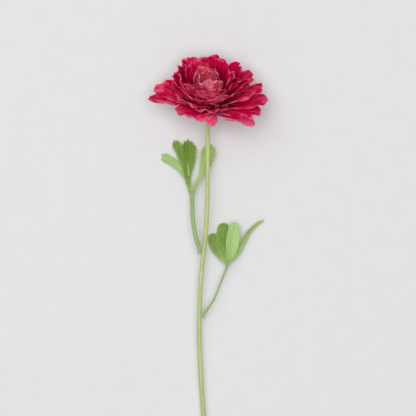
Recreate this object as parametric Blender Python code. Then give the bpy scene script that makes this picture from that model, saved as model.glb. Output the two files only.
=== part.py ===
"""A Persian buttercup (double ranunculus), cut with its stem and two leaves and lying on a flat surface.

Blender 4.5, metres, +Z up. The stem lies along Y with the flower at the +Y end, and the origin is the
middle of the footprint, at the height of the surface that the flower lies on.

The flower head is modelled upright in its own frame: its axis is +Z, its +Y side ends up against the
surface and its -Y side on top. The "head" empty then tips it over to where it rests.
"""

import math
from collections import namedtuple

import bmesh
import bpy
from mathutils import Matrix, Vector, noise

MM = 0.001

# The head's place: its face looks up from the surface by HEAD_TILT, and the claws of its petals are here
HEAD_TILT = math.radians(27)
HEAD_PLACE = Vector((0, -8.0, 43.3)) * MM

# Petals. A whorl is one ring of petals on one bowl, and the bowls lie one inside the next.
PETAL_THICKNESS = 0.5 * MM
PETAL_COLUMNS = 6
PETAL_ROWS = 6
CLAW_HALF_WIDTH = 1.8 * MM
SHOULDER = 0.26  # how much shorter a petal is along its edge than along its middle
Whorl = namedtuple("Whorl", "name radius height slope_in slope_out length half_width")
WHORLS = (
    Whorl("guard", 7.6, 0.5, 20, 2, 47, 19),
    Whorl("outer", 7.4, 2.0, 30, 34, 44, 19),
    Whorl("spread", 7.1, 3.5, 34, 66, 43, 18),
    Whorl("cup", 6.8, 5.0, 38, 92, 45, 16),
    Whorl("inner", 6.4, 6.5, 40, 106, 40, 15),
    Whorl("fold", 6.0, 7.9, 46, 138, 34, 12),
    Whorl("curl", 5.5, 9.2, 50, 136, 30, 9),
    Whorl("heart", 5.0, 10.4, 56, 130, 26, 7.4),
)

# Each petal stands in its own way: direction round the axis in degrees, how far the whole petal sinks, its
# tip rises and its edges twist, in whorls, its length and width against the whorl's, how late it flares out
# from its claw, and how much longer its counter-clockwise side is than its middle
Stance = namedtuple("Stance", "turn sink rise twist long wide flare skew", defaults=(0,))
STANCES = {
    "guard": (
        Stance(355, 0.06, 0.14, 0.02, 1.02, 1.16, 1.5),
        Stance(34, -0.05, 0.00, 0.30, 1.04, 1.05, 1.5),
        Stance(74, 0.00, -0.04, 0.28, 1.02, 1.04, 1.5),
        Stance(122, 0.00, 0.00, 0.28, 0.96, 1.00, 1.5),
        Stance(171, -0.34, -0.46, 0.08, 0.95, 0.82, 1.5, 0.15),
        Stance(231, 0.10, 0.20, 0.36, 0.64, 0.82, 1.4, -0.22),
        Stance(260, 0.60, -0.36, 0.16, 0.48, 0.46, 1.1),
        Stance(279, 1.00, -0.46, 0.16, 0.52, 0.32, 1.1),
        Stance(325, 0.95, 0.08, 0.20, 0.95, 0.72, 1.2),
        Stance(332, 0.38, 0.06, 0.08, 0.98, 1.00, 1.5),
    ),
    "outer": (
        Stance(36, 0.00, 0.28, 0.28, 1.03, 0.92, 1.6),
        Stance(73, 0.00, 0.12, 0.28, 0.90, 0.84, 1.7),
        Stance(113, 0.00, 0.12, 0.10, 0.92, 0.84, 1.7),
        Stance(163, 0.30, -0.30, 0.28, 1.02, 0.90, 1.6, 0.10),
        Stance(217, 0.00, 0.40, 0.28, 0.66, 0.92, 1.5),
        Stance(277, 0.45, -0.10, 0.24, 0.62, 0.92, 1.4),
        Stance(344, 0.00, -0.10, 0.05, 1.10, 1.00, 1.5),
    ),
    "spread": (
        Stance(0, 0.00, 0.00, 0.28, 1.00, 0.98, 1.5),
        Stance(53, 0.00, 0.05, 0.28, 0.88, 0.93, 1.5),
        Stance(100, 0.00, -0.01, 0.28, 1.00, 0.88, 1.5),
        Stance(155, 0.00, -0.05, 0.28, 0.86, 0.96, 1.6, -0.06),
        Stance(205, 0.00, 0.09, 0.28, 0.86, 0.93, 1.5),
        Stance(259, 0.00, 0.10, 0.34, 0.54, 0.68, 1.6),
        Stance(311, 0.00, 0.02, 0.30, 0.84, 0.92, 1.5),
    ),
    "cup": (
        Stance(28, 0.00, 0.06, 0.30, 0.98, 0.96, 1.5),
        Stance(77, 0.00, 0.00, 0.28, 0.96, 0.93, 1.5),
        Stance(127, 0.00, -0.04, 0.28, 0.95, 0.88, 1.5),
        Stance(181, 0.00, 0.02, 0.28, 0.93, 0.98, 1.5),
        Stance(233, 0.00, 0.04, 0.32, 0.72, 0.86, 1.6),
        Stance(283, 0.00, 0.08, 0.36, 0.60, 0.72, 1.7),
        Stance(334, 0.00, 0.04, 0.30, 0.84, 0.96, 1.5),
    ),
    "inner": (
        Stance(3, 0.00, 0.04, 0.30, 0.90, 0.96, 1.5),
        Stance(62, 0.00, 0.05, 0.28, 1.00, 0.93, 1.5),
        Stance(119, 0.00, -0.02, 0.28, 0.98, 0.88, 1.5),
        Stance(180, 0.00, -0.05, 0.28, 1.00, 0.98, 1.5),
        Stance(238, 0.00, 0.00, 0.32, 0.70, 0.84, 1.6),
        Stance(301, 0.00, 0.02, 0.34, 0.68, 0.80, 1.6),
    ),
    "fold": (
        Stance(28, 0.00, -0.04, 0.38, 0.92, 0.84, 1.5),
        Stance(101, 0.00, 0.00, 0.38, 1.00, 0.88, 1.5),
        Stance(173, 0.00, 0.03, 0.38, 0.96, 0.82, 1.5),
        Stance(243, 0.00, 0.05, 0.38, 0.64, 0.78, 1.5),
        Stance(312, 0.00, -0.03, 0.38, 0.72, 0.84, 1.5),
    ),
    "curl": (
        Stance(10, 0.00, 0.00, 0.34, 0.86, 0.90, 1.5),
        Stance(99, 0.00, 0.03, 0.34, 1.00, 0.94, 1.5),
        Stance(187, 0.00, 0.02, 0.34, 0.90, 0.90, 1.5),
        Stance(276, 0.00, -0.03, 0.34, 0.74, 0.88, 1.5),
    ),
    "heart": (
        Stance(42, 0.00, 0.00, 0.34, 0.96, 0.94, 1.5),
        Stance(160, 0.00, 0.02, 0.34, 1.00, 0.92, 1.5),
        Stance(281, 0.00, -0.02, 0.34, 0.80, 0.92, 1.5),
    ),
}

# How far the bowls lean open, in whorls, in each direction from 0 degrees on in equal steps. It grows from
# the guard petals to the inner ones, and leaves the bud in the middle closed.
OPENING = (1.2, 1.0, 0.4, 0.1, 0.0, 0.2, 0.5, 1.1)
OPENING_FROM = 0.5
OPENING_FULL = 4.0
BUD_FROM = 4.35
BUD_FULL = 4.6
OPENING_RUN = 28 * MM

# A slow wave through the whole head keeps it from being a perfect rosette
SWAY = 3.0 * MM
SWAY_SCALE = 34 * MM
SWAY_SEED = 4
SWAY_FROM = 11 * MM
SWAY_FULL = 40 * MM

# The receptacle that the petals grow from, as (radius, height) in mm up the head's axis, and what it bears
RECEPTACLE = ((2.3, -3.2), (4.2, -2.6), (6.4, -1.0), (6.7, 2.0), (6.2, 5.0), (5.2, 8.5), (4.1, 11.0))
CONE_BASE = 11.3
CONE = ((1.9, 0.0), (2.3, 1.6), (2.1, 3.6), (1.2, 5.2))
STAMENS = 18
STAMEN_RING = (2.75, 3.35)
STAMEN_HEIGHTS = (3.4, 4.6)
SEPALS = 5
TURNED_STEPS = 14

# The stem's route in mm, from just under the receptacle to the cut end
STEM_RADIUS = 2.0 * MM
STEM_ROUTE = (
    (-0.1, -22.5, 35.6),
    (-0.3, -44.0, 32.0),
    (-0.4, -76.0, 29.4),
    (-0.9, -101.0, 27.4),
    (-2.4, -126.0, 25.2),
    (-4.7, -146.0, 23.4),
    (-7.0, -172.0, 21.0),
    (-8.1, -205.0, 17.9),
    (-7.7, -233.0, 15.4),
    (-5.6, -273.0, 11.8),
    (-2.8, -310.0, 8.6),
    (0.6, -348.0, 5.2),
    (3.6, -387.0, 2.1),
)
STEM_STEPS = 3  # rings between two route points

# A leaf is a stalk and its lobes. Each lobe has a middle line in mm, half widths in mm along it, the roll
# of its face about that line and the fold of its two halves, in degrees, and how much shorter it is along its
# edges than along its middle.
LEAF_THICKNESS = 0.6 * MM
LOBE_COLUMNS = 4
LOBE_ROWS = 9
Lobe = namedtuple("Lobe", "line widths roll fold shoulder")
Leaf = namedtuple("Leaf", "stalk stalk_radii lobes")
UPPER_LEAF = Leaf(
    stalk=(
        (-7.8, -142.6, 25.2),
        (-8.0, -137.4, 25.6),
        (-10.5, -130.2, 23.2),
        (-13.1, -117.8, 20.8),
        (-14.2, -105.4, 18.6),
        (-14.7, -93.0, 16.0),
        (-14.6, -85.0, 14.4),
    ),
    stalk_radii=(1.2, 1.8, 2.0, 1.9, 1.9, 1.9, 1.9),
    lobes=(
        Lobe(
            line=(
                (-14.6, -90.0, 15.4),
                (-18.0, -78.5, 12.8),
                (-19.0, -67.0, 10.6),
                (-18.4, -54.0, 8.4),
                (-18.4, -36.6, 5.4),
            ),
            widths=(1.6, 2.0, 3.4, 6.6, 8.0),
            roll=8,
            fold=14,
            shoulder=0.05,
        ),
        Lobe(
            line=(
                (-18.6, -71.0, 11.4),
                (-21.0, -61.0, 9.6),
                (-25.6, -49.0, 6.8),
                (-31.6, -37.2, 3.6),
            ),
            widths=(2.0, 2.8, 4.2, 4.4),
            roll=-4,
            fold=8,
            shoulder=0.1,
        ),
        Lobe(
            line=(
                (-18.6, -76.0, 12.3),
                (-25.4, -65.0, 8.4),
                (-33.0, -57.5, 4.0),
                (-44.0, -51.6, 0.4),
            ),
            widths=(1.5, 2.2, 3.9, 4.3),
            roll=-6,
            fold=10,
            shoulder=0.16,
        ),
        Lobe(
            line=(
                (-14.6, -89.0, 15.2),
                (-10.6, -78.6, 13.4),
                (-5.2, -68.5, 11.6),
                (-1.4, -57.0, 9.6),
                (2.6, -40.8, 6.8),
            ),
            widths=(1.6, 1.9, 2.4, 5.4, 7.8),
            roll=-10,
            fold=12,
            shoulder=0.06,
        ),
    ),
)
LOWER_LEAF = Leaf(
    stalk=(
        (-4.4, -202.0, 19.4),
        (-3.2, -197.6, 19.8),
        (-0.2, -193.4, 19.4),
        (4.6, -186.4, 18.8),
        (8.1, -178.8, 18.4),
        (11.6, -169.7, 17.2),
        (15.1, -161.3, 15.6),
        (18.9, -150.7, 13.4),
    ),
    stalk_radii=(1.1, 1.5, 1.3, 1.1, 1.0, 1.0, 1.0, 1.1),
    lobes=(
        Lobe(
            line=(
                (17.8, -153.5, 13.9),
                (16.0, -142.0, 10.4),
                (14.4, -130.0, 7.0),
                (14.4, -114.0, 3.2),
            ),
            widths=(1.2, 5.0, 7.2, 6.0),
            roll=-14,
            fold=12,
            shoulder=0.08,
        ),
        Lobe(
            line=(
                (17.8, -153.0, 13.8),
                (13.2, -144.0, 10.0),
                (6.8, -134.5, 5.6),
                (2.8, -124.0, 0.6),
            ),
            widths=(1.2, 4.6, 5.8, 4.6),
            roll=-6,
            fold=10,
            shoulder=0.09,
        ),
        Lobe(
            line=(
                (18.2, -152.5, 14.1),
                (21.2, -140.0, 13.6),
                (23.0, -127.0, 13.8),
                (24.6, -113.6, 15.0),
            ),
            widths=(1.2, 5.2, 7.0, 5.8),
            roll=10,
            fold=24,
            shoulder=0.1,
        ),
        Lobe(
            line=(
                (18.6, -151.5, 13.6),
                (26.8, -141.0, 11.0),
                (34.8, -126.0, 8.0),
                (43.0, -117.0, 5.6),
                (52.0, -111.4, 3.6),
            ),
            widths=(1.2, 3.6, 4.0, 3.2, 1.6),
            roll=52,
            fold=20,
            shoulder=0.16,
        ),
    ),
)


def clear_scene():
    for obj in list(bpy.data.objects):
        bpy.data.objects.remove(obj)


def material(name, color, roughness):
    made = bpy.data.materials.new(name)
    made.use_nodes = True
    shader = made.node_tree.nodes["Principled BSDF"]
    shader.inputs["Base Color"].default_value = (*color, 1)
    shader.inputs["Roughness"].default_value = roughness
    shader.inputs["Metallic"].default_value = 0
    return made


def add_object(name, mesh, finish, parent):
    made = bpy.data.objects.new(name, mesh)
    bpy.context.scene.collection.objects.link(made)
    made.data.materials.append(finish)
    made.parent = parent
    return made


def sheet_mesh(name, columns, rows, place):
    """A grid of faces whose corner at (across -1..1, along 0..1) lies where place() says."""
    shape = bmesh.new()
    grid = [
        [shape.verts.new(place(2 * c / columns - 1, r / rows)) for c in range(columns + 1)]
        for r in range(rows + 1)
    ]
    for r in range(rows):
        for c in range(columns):
            shape.faces.new((grid[r][c], grid[r][c + 1], grid[r + 1][c + 1], grid[r + 1][c]))
    mesh = bpy.data.meshes.new(name)
    shape.to_mesh(mesh)
    shape.free()
    mesh.shade_smooth()
    return mesh


def thicken(obj, thickness):
    solid = obj.modifiers.new("thickness", "SOLIDIFY")
    solid.thickness = thickness
    solid.offset = 0


def turned_mesh(name, profile):
    """A closed solid turned about Z from (radius, height) points in mm, listed from the bottom up."""
    shape = bmesh.new()
    points = [(0, profile[0][1]), *profile, (0, profile[-1][1])]
    verts = [shape.verts.new((radius * MM, 0, height * MM)) for radius, height in points]
    edges = [shape.edges.new(pair) for pair in zip(verts, verts[1:])]
    bmesh.ops.spin(
        shape, geom=verts + edges, cent=(0, 0, 0), axis=(0, 0, 1), angle=math.tau, steps=TURNED_STEPS,
        use_merge=True, use_duplicate=False,
    )
    bmesh.ops.remove_doubles(shape, verts=shape.verts, dist=1e-6)
    bmesh.ops.recalc_face_normals(shape, faces=shape.faces)
    mesh = bpy.data.meshes.new(name)
    shape.to_mesh(mesh)
    shape.free()
    mesh.shade_smooth()
    return mesh


def whorl_at(layer):
    """Claw radius and height, slopes and length of the bowl at a whorl number, which may be fractional."""
    low = min(max(math.floor(layer), 0), len(WHORLS) - 2)
    share = layer - low
    inner, outer = WHORLS[low + 1], WHORLS[low]
    return [a + (b - a) * share for a, b in zip(outer[1:6], inner[1:6])]


def bowl_point(layer, run):
    """(radius, height) after a run along the bowl from its claw; the bowl's section is one arc."""
    radius, height, slope_in, slope_out, length = whorl_at(layer)
    start = math.radians(slope_in)
    bend = math.radians(slope_out - slope_in) / (length * MM)
    slope = start + bend * run
    out = radius * MM + (math.sin(slope) - math.sin(start)) / bend
    up = height * MM + (math.cos(start) - math.cos(slope)) / bend
    return out, up


def smooth_step(value):
    value = min(max(value, 0), 1)
    return value * value * (3 - 2 * value)


def opened(layer, run, angle):
    """The whorl number that a petal of this whorl number lies on, this far out and in this direction."""
    step = angle / math.tau % 1 * len(OPENING)
    low = int(step)
    following = OPENING[(low + 1) % len(OPENING)]
    most = OPENING[low % len(OPENING)]
    most += (following - most) * smooth_step(step - low)
    share = min(max((layer - OPENING_FROM) / (OPENING_FULL - OPENING_FROM), 0), 1)
    share *= min(max((BUD_FULL - layer) / (BUD_FULL - BUD_FROM), 0), 1)
    return layer - most * share * smooth_step(run / OPENING_RUN)


def swayed(point):
    """The point moved by the slow wave, which is still at the receptacle and grows outwards."""
    share = min(max((point.length - SWAY_FROM) / (SWAY_FULL - SWAY_FROM), 0), 1)
    return point + noise.noise_vector(point / SWAY_SCALE) * SWAY * share


def petal_place(layer, stance):
    """The function from (across, along) to a point of this petal in the head's frame."""
    whorl = WHORLS[layer]
    length = whorl.length * stance.long * MM
    widening = whorl.half_width * stance.wide * MM - CLAW_HALF_WIDTH
    turn = math.radians(stance.turn)

    def place(across, along):
        side = across * (CLAW_HALF_WIDTH + widening * math.sin(0.62 * math.pi * along**stance.flare))
        run = length * along * (1 - SHOULDER * across**2 + stance.skew * across)
        share = run / (whorl.length * MM)
        lean = stance.rise * share - stance.twist * across * math.sqrt(share) - stance.sink
        angle = turn + side / bowl_point(layer + lean, run)[0]
        radius, height = bowl_point(opened(layer + lean, run, angle), run)
        return swayed(Vector((radius * math.cos(angle), radius * math.sin(angle), height)))

    return place


def add_petals(finish, head):
    for layer, whorl in enumerate(WHORLS):
        for n, stance in enumerate(STANCES[whorl.name]):
            name = f"petal_{whorl.name}_{n + 1}"
            mesh = sheet_mesh(name, PETAL_COLUMNS, PETAL_ROWS, petal_place(layer, stance))
            thicken(add_object(name, mesh, finish, head), PETAL_THICKNESS)


def add_sepals(finish, head):
    length, half_width, claw, droop = 11 * MM, 3.4 * MM, 1.6 * MM, math.radians(40)

    def place(across, along):
        run = length * along * (1 - 0.3 * across**2)
        slope = -droop * run / length
        radius = 7.2 * MM + run * math.cos(slope / 2)
        height = -1.9 * MM + run * math.sin(slope / 2)
        side = across * (claw + (half_width - claw) * math.sin(math.pi * along))
        return Vector((radius, side, height))

    for n in range(SEPALS):
        name = f"sepal_{n + 1}"
        sepal = add_object(name, sheet_mesh(name, 2, 5, place), finish, head)
        sepal.rotation_euler.z = math.tau * n / SEPALS
        thicken(sepal, PETAL_THICKNESS)


def add_heart(receptacle_finish, cone_finish, stamen_finish, head):
    add_object("receptacle", turned_mesh("receptacle", RECEPTACLE), receptacle_finish, head)
    cone = add_object("carpel_cone", turned_mesh("carpel_cone", CONE), cone_finish, head)
    cone.location.z = CONE_BASE * MM
    inner, outer = (r * MM for r in STAMEN_RING)
    low, high = (h * MM for h in STAMEN_HEIGHTS)
    shape = bmesh.new()
    rings = []
    for radius, heights in ((inner, (0, 0)), (outer, (0, 0)), (outer, (high, low)), (inner, (high, low))):
        rings.append([
            shape.verts.new((
                radius * math.cos(math.pi * n / STAMENS),
                radius * math.sin(math.pi * n / STAMENS),
                heights[n % 2],
            ))
            for n in range(2 * STAMENS)
        ])
    for ring, following in zip(rings, rings[1:] + rings[:1]):
        for n in range(2 * STAMENS):
            after = (n + 1) % (2 * STAMENS)
            shape.faces.new((ring[n], following[n], following[after], ring[after]))
    bmesh.ops.recalc_face_normals(shape, faces=shape.faces)
    mesh = bpy.data.meshes.new("stamens")
    shape.to_mesh(mesh)
    shape.free()
    stamens = add_object("stamens", mesh, stamen_finish, head)
    stamens.location.z = CONE_BASE * MM


def smooth_route(points, steps):
    """Points on a Catmull-Rom curve through the given ones, with this many steps between two of them."""
    ends = [points[0] * 2 - points[1], *points, points[-1] * 2 - points[-2]]
    route = []
    for before, start, end, after in zip(ends, ends[1:], ends[2:], ends[3:]):
        for n in range(steps):
            t = n / steps
            route.append(
                0.5 * (2 * start + (end - before) * t + (2 * before - 5 * start + 4 * end - after) * t**2
                       + (3 * start - before - 3 * end + after) * t**3)
            )
    return [*route, points[-1]]


def rod_mesh(name, points, radii):
    """A closed round rod along the points, with a radius in metres at each."""
    curve = bpy.data.curves.new(name, "CURVE")
    curve.dimensions = "3D"
    curve.bevel_depth = 1
    curve.bevel_resolution = 2
    curve.use_fill_caps = True
    spline = curve.splines.new("POLY")
    spline.points.add(len(points) - 1)
    for knot, point, radius in zip(spline.points, points, radii):
        knot.co = (*point, 1)
        knot.radius = radius
    guide = bpy.data.objects.new(name + "_guide", curve)
    bpy.context.scene.collection.objects.link(guide)
    graph = bpy.context.evaluated_depsgraph_get()
    mesh = bpy.data.meshes.new_from_object(guide.evaluated_get(graph))
    bpy.data.objects.remove(guide)
    shape = bmesh.new()
    shape.from_mesh(mesh)
    bmesh.ops.remove_doubles(shape, verts=shape.verts, dist=1e-6)
    bmesh.ops.recalc_face_normals(shape, faces=shape.faces)
    shape.to_mesh(mesh)
    shape.free()
    mesh.name = name
    mesh.shade_smooth()
    return mesh


def in_metres(points):
    return [Vector(point) * MM for point in points]


def add_stem(finish, root, head):
    """The stem starts square to the receptacle, a hair below it, and bends down to the surface."""
    neck = [head.matrix_local @ Vector((0, 0, height * MM)) for height in (-3.5, -11)]
    route = smooth_route([*neck, *in_metres(STEM_ROUTE)], STEM_STEPS)
    radii = [STEM_RADIUS * (1 + 0.06 * n / len(route)) for n in range(len(route))]
    return add_object("stem", rod_mesh("stem", route, radii), finish, root)


def lobe_mesh(name, lobe):
    line = smooth_route(in_metres(lobe.line), 6)
    widths = smooth_route([Vector((w * MM, 0, 0)) for w in lobe.widths], 6)
    last = len(line) - 1

    def at(values, share):
        low = min(int(share * last), last - 1)
        return values[low].lerp(values[low + 1], share * last - low)

    def place(across, along):
        share = along * (1 - lobe.shoulder * across**2)
        heading = (at(line, min(share + 0.04, 1)) - at(line, max(share - 0.04, 0))).normalized()
        side = heading.cross(Vector((0, 0, 1))).normalized()
        side = Matrix.Rotation(math.radians(lobe.roll), 3, heading) @ side
        up = side.cross(heading)
        fold = math.radians(lobe.fold)
        half = at(widths, along).x
        return at(line, share) + half * (across * math.cos(fold) * side + abs(across) * math.sin(fold) * up)

    return sheet_mesh(name, LOBE_COLUMNS, LOBE_ROWS, place)


def add_leaf(name, leaf, finish, root):
    """The stalk, joined with its lobes into one solid."""
    route = smooth_route(in_metres(leaf.stalk), 3)
    radii = smooth_route([Vector((r * MM, 0, 0)) for r in leaf.stalk_radii], 3)
    made = add_object(name, rod_mesh(name, route, [r.x for r in radii]), finish, root)
    for n, lobe in enumerate(leaf.lobes):
        part = add_object(f"{name}_lobe_{n + 1}", lobe_mesh(f"{name}_lobe_{n + 1}", lobe), finish, root)
        thicken(part, LEAF_THICKNESS)
        part.hide_render = True
        part.display_type = "WIRE"
        join = made.modifiers.new(f"lobe {n + 1}", "BOOLEAN")
        join.operation = "UNION"
        join.object = part


def rest_on_surface(root):
    """Moves the whole flower so that the origin is the middle of its footprint, on the surface."""
    bpy.context.view_layer.update()
    graph = bpy.context.evaluated_depsgraph_get()
    meshes = [obj for obj in bpy.data.objects if obj.type == "MESH" and not obj.hide_render]
    corners = [
        obj.matrix_world @ vertex.co
        for obj in (shown.evaluated_get(graph) for shown in meshes)
        for vertex in obj.to_mesh().vertices
    ]
    low = [min(c[axis] for c in corners) for axis in range(3)]
    high = [max(c[axis] for c in corners) for axis in range(3)]
    root.location = (-(low[0] + high[0]) / 2, -(low[1] + high[1]) / 2, -low[2])


def main():
    clear_scene()
    noise.seed_set(SWAY_SEED)
    crimson = material("petal_crimson", (0.50, 0.005, 0.05), 0.6)
    sepal_green = material("sepal_green", (0.25, 0.36, 0.10), 0.6)
    stem_green = material("stem_green", (0.50, 0.60, 0.22), 0.5)
    leaf_green = material("leaf_green", (0.25, 0.40, 0.12), 0.55)
    core_green = material("core_green", (0.20, 0.24, 0.08), 0.6)
    stamen_dark = material("stamen_dark", (0.05, 0.03, 0.05), 0.7)

    root = bpy.data.objects.new("flower", None)
    head = bpy.data.objects.new("head", None)
    for empty in (root, head):
        bpy.context.scene.collection.objects.link(empty)
    head.parent = root
    head.location = HEAD_PLACE
    head.rotation_euler.x = HEAD_TILT - math.pi / 2
    bpy.context.view_layer.update()

    add_petals(crimson, head)
    add_sepals(sepal_green, head)
    add_heart(core_green, core_green, stamen_dark, head)
    add_stem(stem_green, root, head)
    add_leaf("leaf_upper", UPPER_LEAF, leaf_green, root)
    add_leaf("leaf_lower", LOWER_LEAF, leaf_green, root)
    rest_on_surface(root)


main()
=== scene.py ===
"""The looks of the Persian buttercup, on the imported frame.

The flower lies on a pale surface and the camera looks straight down on it. Every petal, sepal and leaf, the
stem, the carpels and the stamens are rebuilt here as fine pieces in the place of their CAD nodes: the same
bowls, directions and lengths as in the part, with wavy lobed margins, veins and folds on top. The receptacle
keeps its CAD shape and only gets a material.
"""

import math
import random
from collections import namedtuple

import bmesh
import bpy
from mathutils import Matrix, Vector, noise


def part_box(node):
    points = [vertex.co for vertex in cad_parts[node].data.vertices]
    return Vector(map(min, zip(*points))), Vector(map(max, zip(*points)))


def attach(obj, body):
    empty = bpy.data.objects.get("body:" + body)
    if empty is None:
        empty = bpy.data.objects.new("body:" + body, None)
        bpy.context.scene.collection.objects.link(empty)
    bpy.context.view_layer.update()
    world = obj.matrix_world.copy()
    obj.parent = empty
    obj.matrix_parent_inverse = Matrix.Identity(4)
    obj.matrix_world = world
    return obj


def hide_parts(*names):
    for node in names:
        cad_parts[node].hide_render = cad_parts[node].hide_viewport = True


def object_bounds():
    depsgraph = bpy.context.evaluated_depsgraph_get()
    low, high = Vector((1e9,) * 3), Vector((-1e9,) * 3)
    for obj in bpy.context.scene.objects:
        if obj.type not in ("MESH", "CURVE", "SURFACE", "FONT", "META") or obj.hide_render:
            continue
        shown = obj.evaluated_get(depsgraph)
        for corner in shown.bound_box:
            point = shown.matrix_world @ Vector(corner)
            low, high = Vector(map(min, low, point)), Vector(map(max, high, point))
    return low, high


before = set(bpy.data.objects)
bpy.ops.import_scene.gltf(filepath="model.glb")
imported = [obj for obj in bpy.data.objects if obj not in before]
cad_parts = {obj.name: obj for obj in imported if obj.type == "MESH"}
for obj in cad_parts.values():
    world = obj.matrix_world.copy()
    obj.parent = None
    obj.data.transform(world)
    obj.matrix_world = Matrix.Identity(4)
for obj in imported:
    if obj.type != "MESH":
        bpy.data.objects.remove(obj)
CAD_LOW, CAD_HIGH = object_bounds()

MM = 0.001

# --------------------------------------------------------------- the part's own measures, in the head's frame
# The head's axis is +Z in its own frame. Petals grow from claws in a ring, and each whorl follows a bowl: its
# claws' radius and height in mm, its slope there and at its end in degrees, and a full petal's length and
# half width in mm.
HEAD_TILT = math.radians(27)
HEAD_PLACE = Vector((0, -8.0, 43.3)) * MM
SHOULDER = 0.26  # how much shorter a petal's run is at its sides than down its middle
Whorl = namedtuple("Whorl", "name radius height slope_in slope_out length half_width")
WHORLS = (
    Whorl("guard", 7.6, 0.5, 20, 2, 47, 19),
    Whorl("outer", 7.4, 2.0, 30, 34, 44, 19),
    Whorl("spread", 7.1, 3.5, 34, 66, 43, 18),
    Whorl("cup", 6.8, 5.0, 38, 92, 45, 16),
    Whorl("inner", 6.4, 6.5, 40, 106, 40, 15),
    Whorl("fold", 6.0, 7.9, 46, 138, 34, 12),
    Whorl("curl", 5.5, 9.2, 50, 136, 30, 9),
    Whorl("heart", 5.0, 10.4, 56, 130, 26, 7.4),
)
# A petal's direction in degrees; how many whorls below its own bowl its claw is, how far its tip rises over
# it, and how far one side is raised over the other; its length and width as shares of the whorl's; how late
# it widens; and how much longer one side is
Stance = namedtuple("Stance", "turn sink rise twist long wide flare skew", defaults=(0,))
STANCES = {
    "guard": (
        Stance(355, 0.06, 0.14, 0.02, 1.02, 1.16, 1.5),
        Stance(34, -0.05, 0.00, 0.30, 1.04, 1.05, 1.5),
        Stance(74, 0.00, -0.04, 0.28, 1.02, 1.04, 1.5),
        Stance(122, 0.00, 0.00, 0.28, 0.96, 1.00, 1.5),
        Stance(171, -0.34, -0.46, 0.08, 0.95, 0.82, 1.5, 0.15),
        Stance(231, 0.10, 0.20, 0.36, 0.64, 0.82, 1.4, -0.22),
        Stance(260, 0.60, -0.36, 0.16, 0.48, 0.46, 1.1),
        Stance(279, 1.00, -0.46, 0.16, 0.52, 0.32, 1.1),
        Stance(325, 0.95, 0.08, 0.20, 0.95, 0.72, 1.2),
        Stance(332, 0.38, 0.06, 0.08, 0.98, 1.00, 1.5),
    ),
    "outer": (
        Stance(36, 0.00, 0.28, 0.28, 1.03, 0.92, 1.6),
        Stance(73, 0.00, 0.12, 0.28, 0.90, 0.84, 1.7),
        Stance(113, 0.00, 0.12, 0.10, 0.92, 0.84, 1.7),
        Stance(163, 0.30, -0.30, 0.28, 1.02, 0.90, 1.6, 0.10),
        Stance(217, 0.00, 0.40, 0.28, 0.66, 0.92, 1.5),
        Stance(277, 0.45, -0.10, 0.24, 0.62, 0.92, 1.4),
        Stance(344, 0.00, -0.10, 0.05, 1.10, 1.00, 1.5),
    ),
    "spread": (
        Stance(0, 0.00, 0.00, 0.28, 1.00, 0.98, 1.5),
        Stance(53, 0.00, 0.05, 0.28, 0.88, 0.93, 1.5),
        Stance(100, 0.00, -0.01, 0.28, 1.00, 0.88, 1.5),
        Stance(155, 0.00, -0.05, 0.28, 0.86, 0.96, 1.6, -0.06),
        Stance(205, 0.00, 0.09, 0.28, 0.86, 0.93, 1.5),
        Stance(259, 0.00, 0.10, 0.34, 0.54, 0.68, 1.6),
        Stance(311, 0.00, 0.02, 0.30, 0.84, 0.92, 1.5),
    ),
    "cup": (
        Stance(28, 0.00, 0.06, 0.30, 0.98, 0.96, 1.5),
        Stance(77, 0.00, 0.00, 0.28, 0.96, 0.93, 1.5),
        Stance(127, 0.00, -0.04, 0.28, 0.95, 0.88, 1.5),
        Stance(181, 0.00, 0.02, 0.28, 0.93, 0.98, 1.5),
        Stance(233, 0.00, 0.04, 0.32, 0.72, 0.86, 1.6),
        Stance(283, 0.00, 0.08, 0.36, 0.60, 0.72, 1.7),
        Stance(334, 0.00, 0.04, 0.30, 0.84, 0.96, 1.5),
    ),
    "inner": (
        Stance(3, 0.00, 0.04, 0.30, 0.90, 0.96, 1.5),
        Stance(62, 0.00, 0.05, 0.28, 1.00, 0.93, 1.5),
        Stance(119, 0.00, -0.02, 0.28, 0.98, 0.88, 1.5),
        Stance(180, 0.00, -0.05, 0.28, 1.00, 0.98, 1.5),
        Stance(238, 0.00, 0.00, 0.32, 0.70, 0.84, 1.6),
        Stance(301, 0.00, 0.02, 0.34, 0.68, 0.80, 1.6),
    ),
    "fold": (
        Stance(28, 0.00, -0.04, 0.38, 0.92, 0.84, 1.5),
        Stance(101, 0.00, 0.00, 0.38, 1.00, 0.88, 1.5),
        Stance(173, 0.00, 0.03, 0.38, 0.96, 0.82, 1.5),
        Stance(243, 0.00, 0.05, 0.38, 0.64, 0.78, 1.5),
        Stance(312, 0.00, -0.03, 0.38, 0.72, 0.84, 1.5),
    ),
    "curl": (
        Stance(10, 0.00, 0.00, 0.34, 0.86, 0.90, 1.5),
        Stance(99, 0.00, 0.03, 0.34, 1.00, 0.94, 1.5),
        Stance(187, 0.00, 0.02, 0.34, 0.90, 0.90, 1.5),
        Stance(276, 0.00, -0.03, 0.34, 0.74, 0.88, 1.5),
    ),
    "heart": (
        Stance(42, 0.00, 0.00, 0.34, 0.96, 0.94, 1.5),
        Stance(160, 0.00, 0.02, 0.34, 1.00, 0.92, 1.5),
        Stance(281, 0.00, -0.02, 0.34, 0.80, 0.92, 1.5),
    ),
}
# The cup leans open, away from the bud, by this many whorls at eight directions round the flower. It does so
# fully at OPENING_FULL, and from BUD_FULL inwards the petals stay closed as a bud.
OPENING = (1.2, 1.0, 0.4, 0.1, 0.0, 0.2, 0.5, 1.1)
OPENING_FROM = 0.5
OPENING_FULL = 4.0
BUD_FROM = 4.35
BUD_FULL = 4.6
OPENING_RUN = 28 * MM
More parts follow.
